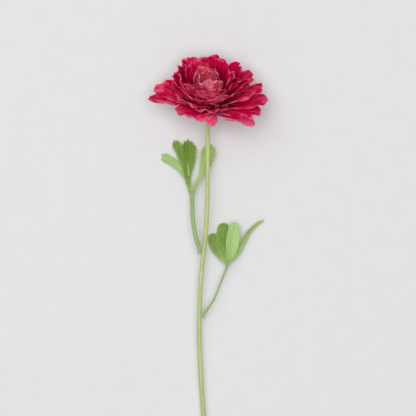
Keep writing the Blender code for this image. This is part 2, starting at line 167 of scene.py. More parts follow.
# A slow wave through space, which bends neighbouring petals together
SWAY = 3.0 * MM
SWAY_SCALE = 34 * MM
SWAY_SEED = 4
SWAY_FROM = 11 * MM
SWAY_FULL = 40 * MM
# The receptacle's outline as (radius, height) in mm, turned in this many steps
RECEPTACLE = ((2.3, -3.2), (4.2, -2.6), (6.4, -1.0), (6.7, 2.0), (6.2, 5.0), (5.2, 8.5), (4.1, 11.0))
TURNED_STEPS = 14
CONE_BASE = 11.3 * MM
SEPALS = 5
STEM_RADIUS = 2.0 * MM
# The stem's middle line below the neck, in mm from ROOT
STEM_ROUTE = (
    (-0.1, -22.5, 35.6),
    (-0.3, -44.0, 32.0),
    (-0.4, -76.0, 29.4),
    (-0.9, -101.0, 27.4),
    (-2.4, -126.0, 25.2),
    (-4.7, -146.0, 23.4),
    (-7.0, -172.0, 21.0),
    (-8.1, -205.0, 17.9),
    (-7.7, -233.0, 15.4),
    (-5.6, -273.0, 11.8),
    (-2.8, -310.0, 8.6),
    (0.6, -348.0, 5.2),
    (3.6, -387.0, 2.1),
)

# ------------------------------------------------------------------------------- what the fine petals add
# Per whorl: lobes along the margin, depth of the notches between them, height and number of the waves, roll
# of the margin (outwards is positive), depth of the crease down the middle, and the grid
Style = namedtuple("Style", "lobes notch ruffle waves roll crease columns rows")
STYLES = {
    "guard": Style(4, 1.5, 1.6, 2.4, 1.6, 1.2, 44, 34),
    "outer": Style(4, 1.6, 1.8, 2.8, 1.4, 1.0, 44, 32),
    "spread": Style(4, 1.6, 1.7, 3.0, 1.6, 1.0, 40, 32),
    "cup": Style(4, 1.6, 1.7, 3.2, 1.8, 1.0, 40, 32),
    "inner": Style(4, 1.8, 1.6, 3.0, 1.6, 1.2, 36, 28),
    "fold": Style(2, 1.4, 1.3, 1.8, 1.0, 1.6, 34, 28),
    "curl": Style(2, 1.2, 1.2, 1.7, 0.9, 1.6, 28, 22),
    "heart": Style(1.5, 1.0, 1.0, 1.6, 0.7, 1.3, 24, 18),
}
# The tones of petals that aren't left to chance: over 1 the palest, below 0 painted shade in the claw's
# colour, for the dark hollow inside the cup
TONES_AND_SHADE = {
    ("guard", 0): 0.4, ("guard", 1): 0.1, ("guard", 4): 0.7, ("guard", 5): 0.4,
    ("guard", 6): 1.9, ("guard", 7): 1.8, ("guard", 8): 1.6, ("guard", 9): 0.8,
    ("outer", 0): 0.0, ("outer", 3): 0.9,
    ("spread", 1): -0.2, ("spread", 3): -0.4, ("spread", 4): -0.3,
    ("cup", 0): -0.6, ("cup", 1): -0.3, ("cup", 3): -0.5,
    ("inner", 0): -0.5, ("inner", 1): -0.8, ("inner", 3): -0.4,
}
SMALL_WHORLS = ("fold", "curl", "heart")  # the petals of the bud
# Half widths of the claws in mm. From guard to inner, neighbours in a whorl overlap at the receptacle.
CLAW_HALF_WIDTHS = {
    "guard": 4.2, "outer": 5.0, "spread": 4.4, "cup": 4.0,
    "inner": 4.0, "fold": 3.6, "curl": 3.6, "heart": 3.6,
}
WIDEST_TURN = 0.62 * math.pi  # a petal widens as the sine of this angle, so it narrows again near its tip
UNEVEN = 0.10  # the most that chance adds to a petal's skew
CREASE_WIDTH = 0.14  # of the half width
SMALL_CREASE_WIDTH = 0.26
CRUMPLE = 1.5 * MM  # a quicker wave than the sway
CRUMPLE_SCALE = 12 * MM
CRUMPLE_SHIFT = Vector((5, 9, 2))
CRUMPLE_FROM = 9 * MM
CRUMPLE_RUN = 12 * MM
FINE_THICKNESS = 0.3 * MM
SEPAL_THICKNESS = 0.35 * MM
LEAF_THICKNESS = 0.4 * MM
REST_FROM = 1.6  # mm over the surface, below which the fine petals and leaves are pressed softly against it
REST_LEAST = 0.3
CORNER = 0.18  # how much the fine petals round off the corners of the CAD ones


def smooth_step(value):
    value = min(max(value, 0), 1)
    return value * value * (3 - 2 * value)


def head_matrix():
    """The head's place: its tilt is known, and the CAD receptacle's lowest corner says where it is."""
    turn = Matrix.Rotation(HEAD_TILT - math.pi / 2, 4, "X")
    corners = []
    for radius, height in RECEPTACLE:
        for n in range(TURNED_STEPS):
            angle = math.tau * n / TURNED_STEPS
            corners.append(
                turn @ Vector((radius * MM * math.cos(angle), radius * MM * math.sin(angle), height * MM))
            )
    low = Vector([min(point[axis] for point in corners) for axis in range(3)])
    return Matrix.Translation(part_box("receptacle")[0] - low) @ turn


noise.seed_set(SWAY_SEED)
HEAD = head_matrix()
ROOT = HEAD.translation - HEAD_PLACE  # the design's origin: near the surface, under the head


# ------------------------------------------------------------------------------------------- mesh helpers
def piece(name, mesh, slot, materials, *nodes):
    """A finished piece: it rides on the one body, stands for its CAD nodes and takes the finishes it is
    given. The slot is not used.
    """
    made = bpy.data.objects.new(name, mesh)
    bpy.context.scene.collection.objects.link(made)
    for finish in materials:
        made.data.materials.append(finish)
    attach(made, "root")
    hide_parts(*nodes)
    return made


def grid_mesh(name, columns, rows, place, facts, matrix=Matrix.Identity(4)):
    """A grid of faces. Its corner at (across -1..1, along 0..1) lies at place() and stores facts()."""
    corners = [(2 * c / columns - 1, r / rows) for r in range(rows + 1) for c in range(columns + 1)]
    points = [above_floor(matrix @ place(across, along)) for across, along in corners]
    wide = columns + 1
    faces = [
        (r * wide + c, (r + 1) * wide + c, (r + 1) * wide + c + 1, r * wide + c + 1)
        for r in range(rows)
        for c in range(columns)
    ]
    mesh = bpy.data.meshes.new(name)
    mesh.from_pydata(points, [], faces)
    stored = [facts(across, along) for across, along in corners]
    for label in stored[0]:
        layer = mesh.attributes.new(label, "FLOAT", "POINT")
        layer.data.foreach_set("value", [one[label] for one in stored])
    mesh.shade_smooth()
    return mesh


def thicken(obj, thickness):
    """Gives the sheet its thickness; the far side and the rim take the second material."""
    solid = obj.modifiers.new("thickness", "SOLIDIFY")
    solid.thickness = thickness
    solid.offset = 0
    solid.material_offset = 1
    solid.material_offset_rim = 1


def smooth_route(points, steps):
    """A smooth curve through the points, with this many steps from each to the next."""
    ends = [points[0] * 2 - points[1], *points, points[-1] * 2 - points[-2]]
    route = []
    for before, start, end, after in zip(ends, ends[1:], ends[2:], ends[3:]):
        for n in range(steps):
            t = n / steps
            route.append(
                0.5 * (2 * start + (end - before) * t + (2 * before - 5 * start + 4 * end - after) * t**2
                       + (3 * start - before - 3 * end + after) * t**3)
            )
    return [*route, points[-1]]


# -------------------------------------------------------------------------------------------- the petals
def whorl_at(layer):
    """The measures of the bowl at a whorl number, which may lie between two whorls."""
    low = min(max(math.floor(layer), 0), len(WHORLS) - 2)
    share = layer - low
    inner, outer = WHORLS[low + 1], WHORLS[low]
    return [a + (b - a) * share for a, b in zip(outer[1:6], inner[1:6])]


def bowl_point(layer, run):
    """(radius, height, slope) after a run along the bowl from its claw."""
    radius, height, slope_in, slope_out, length = whorl_at(layer)
    start = math.radians(slope_in)
    bend = math.radians(slope_out - slope_in) / (length * MM)
    slope = start + bend * run
    out = radius * MM + (math.sin(slope) - math.sin(start)) / bend
    up = height * MM + (math.cos(start) - math.cos(slope)) / bend
    return out, up, slope


def opened(layer, run, angle):
    """The whorl number that a petal of this whorl number lies on, this far out and in this direction."""
    step = angle / math.tau % 1 * len(OPENING)
    low = int(step)
    following = OPENING[(low + 1) % len(OPENING)]
    most = OPENING[low % len(OPENING)]
    most += (following - most) * smooth_step(step - low)
    share = min(max((layer - OPENING_FROM) / (OPENING_FULL - OPENING_FROM), 0), 1)
    share *= min(max((BUD_FULL - layer) / (BUD_FULL - BUD_FROM), 0), 1)
    return layer - most * share * smooth_step(run / OPENING_RUN)


def swayed(point):
    """Bends the petals with two waves through space, both of which fade out near the claws."""
    share = min(max((point.length - SWAY_FROM) / (SWAY_FULL - SWAY_FROM), 0), 1)
    far = point + noise.noise_vector(point / SWAY_SCALE) * SWAY * share
    near = smooth_step((point.length - CRUMPLE_FROM) / CRUMPLE_RUN)
    return far + noise.noise_vector(point / CRUMPLE_SCALE + CRUMPLE_SHIFT) * CRUMPLE * near


def above_floor(point):
    """Presses what would go through the surface softly against it."""
    height = (point.z - CAD_LOW.z) / MM
    if height < REST_FROM:
        give = REST_FROM - REST_LEAST
        point.z = CAD_LOW.z + (REST_LEAST + give * math.exp((height - REST_FROM) / give)) * MM
    return point


def petal_functions(layer, n):
    """place(across, along) in the head's frame, and facts(across, along) for the shader."""
    whorl = WHORLS[layer]
    stance = STANCES[whorl.name][n]
    style = STYLES[whorl.name]
    dice = random.Random(100 * layer + n)
    length = whorl.length * stance.long * MM
    claw = CLAW_HALF_WIDTHS[whorl.name] * MM
    widening = whorl.half_width * stance.wide * MM - claw
    turn = math.radians(stance.turn)
    ruffle = style.ruffle * min(stance.wide, 1)
    lobes = style.lobes * max(stance.wide, 0.6) + dice.uniform(-0.5, 0.7)
    phase = [dice.uniform(0, math.tau) for _ in range(7)]
    uneven = stance.skew + dice.uniform(-UNEVEN, UNEVEN)
    tone = TONES_AND_SHADE.get((whorl.name, n), dice.uniform(0, 1))
    crease_width = SMALL_CREASE_WIDTH if whorl.name in SMALL_WHORLS else CREASE_WIDTH

    def half_width(along):
        return claw + widening * math.sin(WIDEST_TURN * along**stance.flare)

    def margin(across):
        """The share of its length that the petal keeps at this place across, less where a notch is."""
        wave = math.pi * (lobes * (across + 1) / 2 + 0.3 * math.sin(2.3 * across + phase[0])) + phase[1]
        deep = (0.7 + 0.3 * math.sin(3.1 * across + phase[2])) * min(stance.wide, 1)
        notch = (1 - abs(math.sin(wave)) ** 0.55) * (1 - smooth_step((abs(across) - 0.6) / 0.4))
        return 1 - style.notch * MM / length * deep * notch

    def run_at(across, along):
        rounded = 1 - SHOULDER * across**2 - CORNER * across**6 + uneven * across
        return length * along * rounded * (1 + (margin(across) - 1) * along**4)

    def place(across, along):
        scallop = 1 + 0.045 * math.sin(9 * along + phase[3]) * along
        side = across * half_width(along) * scallop
        run = run_at(across, along)
        share = run / (whorl.length * MM)
        lean = stance.rise * share - stance.twist * across * math.sqrt(share) - stance.sink
        angle = turn + side / bowl_point(layer + lean, run)[0]
        radius, height, slope = bowl_point(opened(layer + lean, run, angle), run)
        outward = Vector((math.cos(angle), math.sin(angle), 0))
        point = outward * radius + Vector((0, 0, height))
        inward = outward * -math.sin(slope) + Vector((0, 0, math.cos(slope)))

        edge = along**2.5 * (1 - 0.45 * across**4)
        waves = math.pi * style.waves
        push = ruffle * edge * (
            0.6 * math.sin(waves * across + phase[4]) + 0.4 * math.sin(1.9 * waves * across + phase[5])
        )
        push += 0.4 * ruffle * abs(across) ** 3 * along * math.sin(8 * along + phase[6])
        push -= style.roll * smooth_step((along - 0.82) / 0.18) ** 2
        push -= style.crease * math.exp(-((across / crease_width) ** 2)) * along * (1.25 - along)
        push += 0.16 * math.cos(15 * across + phase[3]) * along * (1 - 0.4 * abs(across))
        return swayed(point + inward * push * MM)

    def facts(across, along):
        to_tip = (1 - along) * length / MM
        to_side = (1 - abs(across)) * half_width(along) / MM
        return {"across": across, "along": along, "margin": min(to_tip, to_side), "tone": tone}

    return place, facts, style


# ----------------------------------------------------------------------------------------- the materials
class Graph:
    """Short words for making one material's nodes."""

    def __init__(self, name):
        self.finish = bpy.data.materials.new(name)
        self.finish.use_nodes = True
        self.nodes = self.finish.node_tree.nodes
        self.links = self.finish.node_tree.links
        self.shader = self.nodes["Principled BSDF"]

    def link(self, value, socket):
        if hasattr(value, "links"):
            self.links.new(value, socket)
        elif hasattr(socket.default_value, "__len__") and not hasattr(value, "__len__"):
            socket.default_value = (value,) * len(socket.default_value)
        elif hasattr(value, "__len__") and len(value) == 3 and len(socket.default_value) == 4:
            socket.default_value = (*value, 1)
        else:
            socket.default_value = value

    def fact(self, label):
        node = self.nodes.new("ShaderNodeAttribute")
        node.attribute_name = label
        return node.outputs["Fac"]

    def place(self):
        return self.nodes.new("ShaderNodeTexCoord").outputs["Object"]

    def math(self, kind, *values):
        node = self.nodes.new("ShaderNodeMath")
        node.operation = kind
        for value, socket in zip(values, node.inputs):
            self.link(value, socket)
        return node.outputs[0]

    def vector(self, x, y, z):
        node = self.nodes.new("ShaderNodeCombineXYZ")
        for value, socket in zip((x, y, z), node.inputs):
            self.link(value, socket)
        return node.outputs[0]

    def noise(self, where, scale, detail=3.0, rough=0.55, twist=0.0):
        node = self.nodes.new("ShaderNodeTexNoise")
        self.link(where, node.inputs["Vector"])
        node.inputs["Scale"].default_value = scale
        node.inputs["Detail"].default_value = detail
        node.inputs["Roughness"].default_value = rough
        node.inputs["Distortion"].default_value = twist
        return node.outputs["Fac"]

    def spread(self, value, low, high, to_low=0.0, to_high=1.0):
        """Leads value smoothly from to_low at low to to_high at high, and holds it beyond them."""
        node = self.nodes.new("ShaderNodeMapRange")
        node.interpolation_type = "SMOOTHSTEP"
        for given, socket in zip((value, low, high, to_low, to_high), node.inputs):
            self.link(given, socket)
        return node.outputs["Result"]

    def mix(self, share, a, b):
        node = self.nodes.new("ShaderNodeMix")
        node.data_type = "RGBA"
        self.link(share, node.inputs[0])
        self.link(a, node.inputs[6])
        self.link(b, node.inputs[7])
        return node.outputs[2]

    def bump(self, height, depth, strength=1.0, under=None):
        node = self.nodes.new("ShaderNodeBump")
        node.inputs["Distance"].default_value = depth
        node.inputs["Strength"].default_value = strength
        self.link(height, node.inputs["Height"])
        if under is not None:
            self.link(under, node.inputs["Normal"])
        return node.outputs["Normal"]

    def finish_with(self, **sockets):
        for label, value in sockets.items():
            self.link(value, self.shader.inputs[label.replace("_", " ")])
        return self.finish


def petal_material(name, deep, full, pale_pink_and_highlight, claw, rim, rim_highlight_share, pale_pink_and_highlight_amount, claw_reach=0.46):
    """A petal's side: streaks that fan out from the claw, cloudy patches of pale pink that are partly the
    petal's own colour and partly painted highlight, a darker claw colour that reaches claw_reach along, and a
    pale rim that comes and goes, which is painted highlight. A tone over 1 makes it paler, and one below 0
    lays painted shade in the claw's colour over it, for the dark hollow inside the cup.
    """
    g = Graph(name)
    across, along, margin, tone = (g.fact(label) for label in ("across", "along", "margin", "tone"))
    shift = g.math("MULTIPLY", tone, 37.0)
    fan = g.vector(g.math("MULTIPLY", across, 11.0), g.math("MULTIPLY", along, 1.6), shift)
    streak = g.noise(fan, 1.0, 4.0, 0.6)
    thin = g.vector(g.math("MULTIPLY", across, 34.0), g.math("MULTIPLY", along, 4.0), shift)
    fine = g.noise(thin, 1.0, 2.0)
    cloud = g.noise(g.place(), 95.0, 3.0, 0.55, 0.4)
    grain = g.noise(g.place(), 1400.0, 2.0)

    body = g.mix(g.spread(streak, 0.34, 0.62), deep, full)
    # Painted highlight, partly the petal's own paler pink: pale pink in cloudy patches and along streaks,
    # more of it towards the tip and on paler petals.
    pale = g.math("MULTIPLY_ADD", tone, 0.80, 0.25)
    paling = g.math("MULTIPLY", g.spread(along, 0.35, 0.95, 0.25, 1.0), pale)
    cloudy = g.math("ADD", cloud, g.spread(tone, 1.0, 1.8, 0.0, 0.2))
    pale_pink_and_highlight_share = g.math("MULTIPLY", g.spread(cloudy, 0.48, 0.60), paling)
    pale_pink_and_highlight_share = g.math("MULTIPLY_ADD", g.spread(streak, 0.50, 0.64), g.math("MULTIPLY", paling, 0.4), pale_pink_and_highlight_share)
    body = g.mix(g.math("MULTIPLY", pale_pink_and_highlight_share, pale_pink_and_highlight_amount), body, pale_pink_and_highlight)
    uneven_along = g.math("MULTIPLY_ADD", streak, 0.3, g.math("SUBTRACT", along, 0.15))
    body = g.mix(g.spread(uneven_along, claw_reach, 0.10, 0.0, 0.9), body, claw)
    veins = g.math("MULTIPLY", g.spread(fine, 0.54, 0.66), 0.22)
    body = g.mix(veins, body, deep)
    # Painted highlight: a pale rim along parts of the margin, its width and its gaps from the band noise.
    band = g.noise(g.vector(g.math("MULTIPLY", across, 3.2), g.math("MULTIPLY", along, 3.2), shift), 1.0, 2.0)
    width = g.spread(band, 0.38, 0.66, 0.35, 3.4)
    # Painted shade: petals with a tone below 0 lie in the dark hollow inside the cup and take the claw's
    # colour, most towards the claw.
    painted_hollow_shade = g.math("MULTIPLY", g.spread(tone, 0.0, -1.0), g.spread(along, 0.95, 0.50, 0.15, 0.95))
    body = g.mix(painted_hollow_shade, body, claw)
    edge = g.math("MULTIPLY", g.spread(margin, width, 0.05), g.spread(band, 0.44, 0.60, 0.0, 1.0))
    edge = g.math("MULTIPLY", edge, rim_highlight_share)
    body = g.mix(edge, body, rim)

    normal = g.bump(streak, 0.5 * MM, 0.55)
    normal = g.bump(fine, 0.12 * MM, 0.6, normal)
    normal = g.bump(grain, 0.03 * MM, 0.5, normal)
    rough = g.spread(grain, 0.3, 0.7, 0.52, 0.68)
    g.shader.inputs["Sheen Weight"].default_value = 0.01
    g.shader.inputs["Sheen Roughness"].default_value = 0.45
    g.shader.inputs["Sheen Tint"].default_value = (1.0, 0.45, 0.55, 1)
    g.shader.inputs["Subsurface Weight"].default_value = 0.12
    g.shader.inputs["Subsurface Radius"].default_value = (1.0, 0.15, 0.2)
    g.shader.inputs["Subsurface Scale"].default_value = 1.2 * MM
    g.shader.inputs["Specular IOR Level"].default_value = 0.02
    return g.finish_with(Base_Color=body, Roughness=rough, Normal=normal)


def leaf_material(name, dark, light, vein, dusk):
    """A leaf's side: veins that fan out along the lobe, and a tone from dark to light for each lobe, which on
    the leaves is partly painted light and shade.
    """
    g = Graph(name)
    across, along, margin, tone = (g.fact(label) for label in ("across", "along", "margin", "tone"))
    shift = g.math("MULTIPLY", tone, 21.0)
    fan = g.vector(g.math("MULTIPLY", across, 4.5), g.math("MULTIPLY", along, 1.2), shift)
    streak = g.noise(fan, 1.0, 4.0, 0.6, 0.3)
    cloud = g.noise(g.place(), 130.0, 4.0, 0.6)
    grain = g.noise(g.place(), 2200.0, 2.0)
    ripple = g.math("MULTIPLY_ADD", across, 9.0, g.math("MULTIPLY", cloud, 0.8))
    ribs = g.math("ABSOLUTE", g.math("SINE", ripple))
    rib = g.spread(ribs, 0.16, 0.02)

    shade = g.math("ADD", tone, g.math("MULTIPLY_ADD", cloud, 0.5, -0.25))
    body = g.mix(g.spread(shade, 0.0, 1.0), dark, light)
    body = g.mix(g.spread(streak, 0.42, 0.66, 0.0, 0.35), body, dusk)
    body = g.mix(g.math("MULTIPLY", rib, 0.30), body, vein)
    body = g.mix(g.spread(margin, 0.7, 0.1, 0.0, 0.35), body, vein)

    normal = g.bump(g.math("SUBTRACT", 1.0, rib), 0.25 * MM, 0.5)
    normal = g.bump(streak, 0.5 * MM, 0.4, normal)
    normal = g.bump(grain, 0.02 * MM, 0.5, normal)
    g.shader.inputs["Subsurface Weight"].default_value = 0.12
    g.shader.inputs["Subsurface Radius"].default_value = (0.35, 1.0, 0.15)
    g.shader.inputs["Subsurface Scale"].default_value = 1.0 * MM
    g.shader.inputs["Specular IOR Level"].default_value = 0.15
    g.shader.inputs["Sheen Weight"].default_value = 0.02
    g.shader.inputs["Sheen Tint"].default_value = (0.9, 1.0, 0.7, 1)
    return g.finish_with(Base_Color=body, Roughness=g.spread(grain, 0.3, 0.7, 0.5, 0.64), Normal=normal)


def stalk_material(name, dark, light, pith):
    """Stem and stalk skin: faint ribs lengthwise, long pale streaks, and pith where it is cut."""
    g = Graph(name)
    around, along, cut = (g.fact(label) for label in ("around", "along", "cut"))
    turn_x = g.math("COSINE", around)
    turn_y = g.math("SINE", around)
    stretch = g.math("MULTIPLY", along, 26.0)
    long = g.vector(g.math("MULTIPLY", turn_x, 3.2), g.math("MULTIPLY", turn_y, 3.2), stretch)
    streak = g.noise(long, 1.0, 4.0, 0.6)
    cloud = g.noise(g.vector(turn_x, turn_y, g.math("MULTIPLY", along, 9.0)), 1.0, 3.0)
    grain = g.noise(g.place(), 1800.0, 2.0)
    body = g.mix(g.spread(streak, 0.35, 0.65), dark, light)
    body = g.mix(g.spread(cloud, 0.40, 0.70, 0.0, 0.45), body, light)
    body = g.mix(cut, body, pith)
    normal = g.bump(streak, 0.35 * MM, 0.5)
    normal = g.bump(grain, 0.03 * MM, 0.4, normal)
    g.shader.inputs["Subsurface Weight"].default_value = 0.15
    g.shader.inputs["Subsurface Radius"].default_value = (0.5, 1.0, 0.2)
    g.shader.inputs["Subsurface Scale"].default_value = 1.5 * MM
    g.shader.inputs["Specular IOR Level"].default_value = 0.4
    return g.finish_with(Base_Color=body, Roughness=g.spread(grain, 0.3, 0.7, 0.40, 0.52), Normal=normal)


def spotted_material(name, dark, light, scale):
    """For the small hidden pieces in the middle of the flower: two tones in small spots, and a bump."""
    g = Graph(name)
    spots = g.noise(g.place(), scale, 3.0, 0.6)
    body = g.mix(g.spread(spots, 0.38, 0.64), dark, light)
    normal = g.bump(spots, 0.25 * MM, 0.6)
    return g.finish_with(Base_Color=body, Roughness=g.spread(spots, 0.3, 0.7, 0.45, 0.65), Normal=normal)


# In the petal finishes the pale pink and rim colours are partly painted highlight, and the claw colour is
# also the painted shade of the hollow inside the cup.
PETAL_TOP = petal_material(
    "petal_top", deep=(0.40, 0.0004, 0.030), full=(0.76, 0.0012, 0.085), pale_pink_and_highlight=(0.94, 0.100, 0.240),
    claw=(0.16, 0.0003, 0.011), rim=(0.97, 0.27, 0.42), rim_highlight_share=0.60, pale_pink_and_highlight_amount=0.80,
)
PETAL_UNDER = petal_material(
    "petal_under", deep=(0.42, 0.001, 0.040), full=(0.76, 0.012, 0.105), pale_pink_and_highlight=(0.96, 0.190, 0.340),
    claw=(0.20, 0.001, 0.018), rim=(0.96, 0.28, 0.40), rim_highlight_share=0.55, pale_pink_and_highlight_amount=0.90,
)
# The bud's colours are made lighter to make up for the shade deep in the cup: painted light over the bud's
# own pink.
HEART_TOP = petal_material(
    "heart_top", deep=(0.66, 0.026, 0.092), full=(0.84, 0.115, 0.200), pale_pink_and_highlight=(0.95, 0.290, 0.370),
    claw=(0.08, 0.070, 0.030), rim=(0.92, 0.30, 0.40), rim_highlight_share=0.8, pale_pink_and_highlight_amount=0.9, claw_reach=0.44,
)
HEART_UNDER = petal_material(
    "heart_under", deep=(0.50, 0.012, 0.070), full=(0.68, 0.080, 0.150), pale_pink_and_highlight=(0.82, 0.220, 0.290),
    claw=(0.10, 0.100, 0.045), rim=(0.94, 0.36, 0.45), rim_highlight_share=0.8, pale_pink_and_highlight_amount=0.9, claw_reach=0.50,
)


def make_petals():
    for layer, whorl in enumerate(WHORLS):
        small = whorl.name in SMALL_WHORLS
        for n in range(len(STANCES[whorl.name])):
            node = f"petal_{whorl.name}_{n + 1}"
            place, facts, style = petal_functions(layer, n)
            mesh = grid_mesh(node + "_fine", style.columns, style.rows, place, facts, HEAD)
            finishes = (HEART_TOP, HEART_UNDER) if small else (PETAL_TOP, PETAL_UNDER)
            made = piece(node + "_fine", mesh, "petal_inner" if small else "petal_outer", finishes, node)
            thicken(made, FINE_THICKNESS)


# ------------------------------------------------------------------------------------ sepals and the core
SEPAL_TOP = leaf_material(
    "sepal_top",
    dark=(0.16, 0.27, 0.06), light=(0.30, 0.42, 0.14), vein=(0.42, 0.50, 0.24), dusk=(0.22, 0.30, 0.08),
)
SEPAL_UNDER = leaf_material(
    "sepal_under",
    dark=(0.20, 0.32, 0.09), light=(0.36, 0.48, 0.20), vein=(0.50, 0.58, 0.32), dusk=(0.26, 0.36, 0.12),
)
SEPAL_RING = 7.2 * MM  # the sepals' claws: their distance from the head's axis and their height on it
SEPAL_HEIGHT = -1.9 * MM


def make_sepals():
    length = 11 * MM
    half_width = 3.4 * MM
    claw = 1.6 * MM
    droop = math.radians(40)
    for n in range(SEPALS):
        dice = random.Random(900 + n)
        phase = dice.uniform(0, math.tau)

        def place(across, along, n=n, phase=phase):
            run = length * along * (1 - 0.3 * across**2)
            slope = -droop * run / length
            radius = SEPAL_RING + run * math.cos(slope / 2)
            height = SEPAL_HEIGHT + run * math.sin(slope / 2)
            half = claw + (half_width - claw) * math.sin(math.pi * along) + 0.15 * MM * math.sin(14 * along)
            side = across * half
            height += 0.5 * MM * (across**2 - 0.4) * along + 0.25 * MM * math.sin(5 * across + phase) * along
            return Matrix.Rotation(math.tau * n / SEPALS, 4, "Z") @ Vector((radius, side, height))

        def facts(across, along, tone=dice.uniform(0.2, 0.8)):
            to_side = (1 - abs(across)) * half_width / MM
            to_tip = (1 - along) * length / MM
            return {"across": across, "along": along, "margin": min(to_side, to_tip), "tone": tone}

        node = f"sepal_{n + 1}"
        mesh = grid_mesh(node + "_fine", 12, 20, place, facts, HEAD)
        thicken(piece(node + "_fine", mesh, "sepal", (SEPAL_TOP, SEPAL_UNDER), node), SEPAL_THICKNESS)


def add_ball(shape, place, sizes, segments=8, rings=6):
    """Adds an oval with these half sizes."""
    bmesh.ops.create_uvsphere(
        shape, u_segments=segments, v_segments=rings, radius=1, matrix=place @ Matrix.Diagonal((*sizes, 1))
    )


# Heights on the head's axis between which the receptacle turns from green to dark red painted shade
GREEN_BELOW = -2.2 * MM
PAINTED_SHADE_ABOVE = -1.0 * MM


def receptacle_material():
    """Green outside, where the sepals sit, and dark red painted shade above it, which shows between the claws
    of the petals.
    """
    g = Graph("receptacle")
    axis = HEAD.to_3x3() @ Vector((0, 0, 1))
    along = g.nodes.new("ShaderNodeVectorMath")
    along.operation = "DOT_PRODUCT"
    g.link(g.place(), along.inputs[0])
    along.inputs[1].default_value = axis
    height = g.math("SUBTRACT", along.outputs["Value"], HEAD.translation.dot(axis))
    spots = g.noise(g.place(), 420.0, 3.0, 0.6)
    green = g.mix(g.spread(spots, 0.38, 0.64), (0.10, 0.17, 0.035), (0.24, 0.34, 0.09))
    # Painted shade: dark red where the receptacle shows between the petals' claws.
    painted_shade_red = g.mix(g.spread(spots, 0.38, 0.64), (0.080, 0.002, 0.008), (0.150, 0.006, 0.016))
    body = g.mix(g.spread(height, GREEN_BELOW, PAINTED_SHADE_ABOVE), green, painted_shade_red)
    bump = g.bump(spots, 0.25 * MM, 0.6)
    return g.finish_with(Base_Color=body, Roughness=0.8, Specular_IOR_Level=0.02, Normal=bump)


CARPELS = 70
GOLDEN_ANGLE = math.radians(137.5)
STAMENS = 46
STAMEN_RING = 2.75  # mm from the head's axis to the stamens' feet


def on_receptacle(name, shape):
    """The shape as a mesh, set on the end of the receptacle."""
    mesh = bpy.data.meshes.new(name)
    shape.to_mesh(mesh)
    shape.free()
    mesh.transform(HEAD @ Matrix.Translation(Vector((0, 0, CONE_BASE))))
    mesh.shade_smooth()
    return mesh


def make_core():
    """The carpels as a spiral of small ovals, and the stamens as filaments with dark anthers."""
    shape = bmesh.new()
    for n in range(CARPELS):
        share = n / (CARPELS - 1)
        angle = n * GOLDEN_ANGLE
        height = 0.3 + 4.6 * share
        radius = 2.1 * math.sqrt(1 - (share * 0.93) ** 2) + 0.05
        turn = Matrix.Rotation(angle, 4, "Z") @ Matrix.Rotation(math.radians(90 - 62 * share), 4, "Y")
        where = Vector((radius * math.cos(angle), radius * math.sin(angle), height)) * MM
        add_ball(shape, Matrix.Translation(where) @ turn, (0.34 * MM, 0.34 * MM, 0.62 * MM))
    add_ball(shape, Matrix.Translation(Vector((0, 0, 1.8 * MM))), (1.9 * MM, 1.9 * MM, 2.6 * MM), 16, 10)
    mesh = on_receptacle("carpel_cone_fine", shape)
    carpels = spotted_material("carpels", (0.07, 0.10, 0.03), (0.24, 0.30, 0.10), 900.0)
    piece("carpel_cone_fine", mesh, "carpels", (carpels,), "carpel_cone")

    shape = bmesh.new()
    for n in range(STAMENS):
        dice = random.Random(700 + n)
        angle = math.tau * n / STAMENS + dice.uniform(-0.05, 0.05)
        foot = Vector((STAMEN_RING * math.cos(angle), STAMEN_RING * math.sin(angle), 0.0))
        reach = dice.uniform(3.2, 3.35)
        tip = Vector((reach * math.cos(angle), reach * math.sin(angle), dice.uniform(3.0, 4.1)))
        middle = (foot + tip) / 2
        turn = (tip - foot).to_track_quat("Z", "Y").to_matrix().to_4x4()
        half_length = (tip - foot).length * 0.52 * MM
        add_ball(shape, Matrix.Translation(middle * MM) @ turn, (0.10 * MM, 0.10 * MM, half_length), 6, 8)
        add_ball(shape, Matrix.Translation(tip * MM) @ turn, (0.20 * MM, 0.16 * MM, 0.50 * MM), 8, 6)
    mesh = on_receptacle("stamens_fine", shape)
    stamens = spotted_material("stamens", (0.025, 0.010, 0.020), (0.09, 0.04, 0.06), 1500.0)
    piece("stamens_fine", mesh, "stamens", (stamens,), "stamens")

    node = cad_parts["receptacle"]
    node.data.materials.clear()
    node.data.materials.append(receptacle_material())
    node.data.shade_smooth()


# ------------------------------------------------------------------------------------ stem and leaf stalks
TUBE_STEPS = 24  # sides of the stem and of a stalk


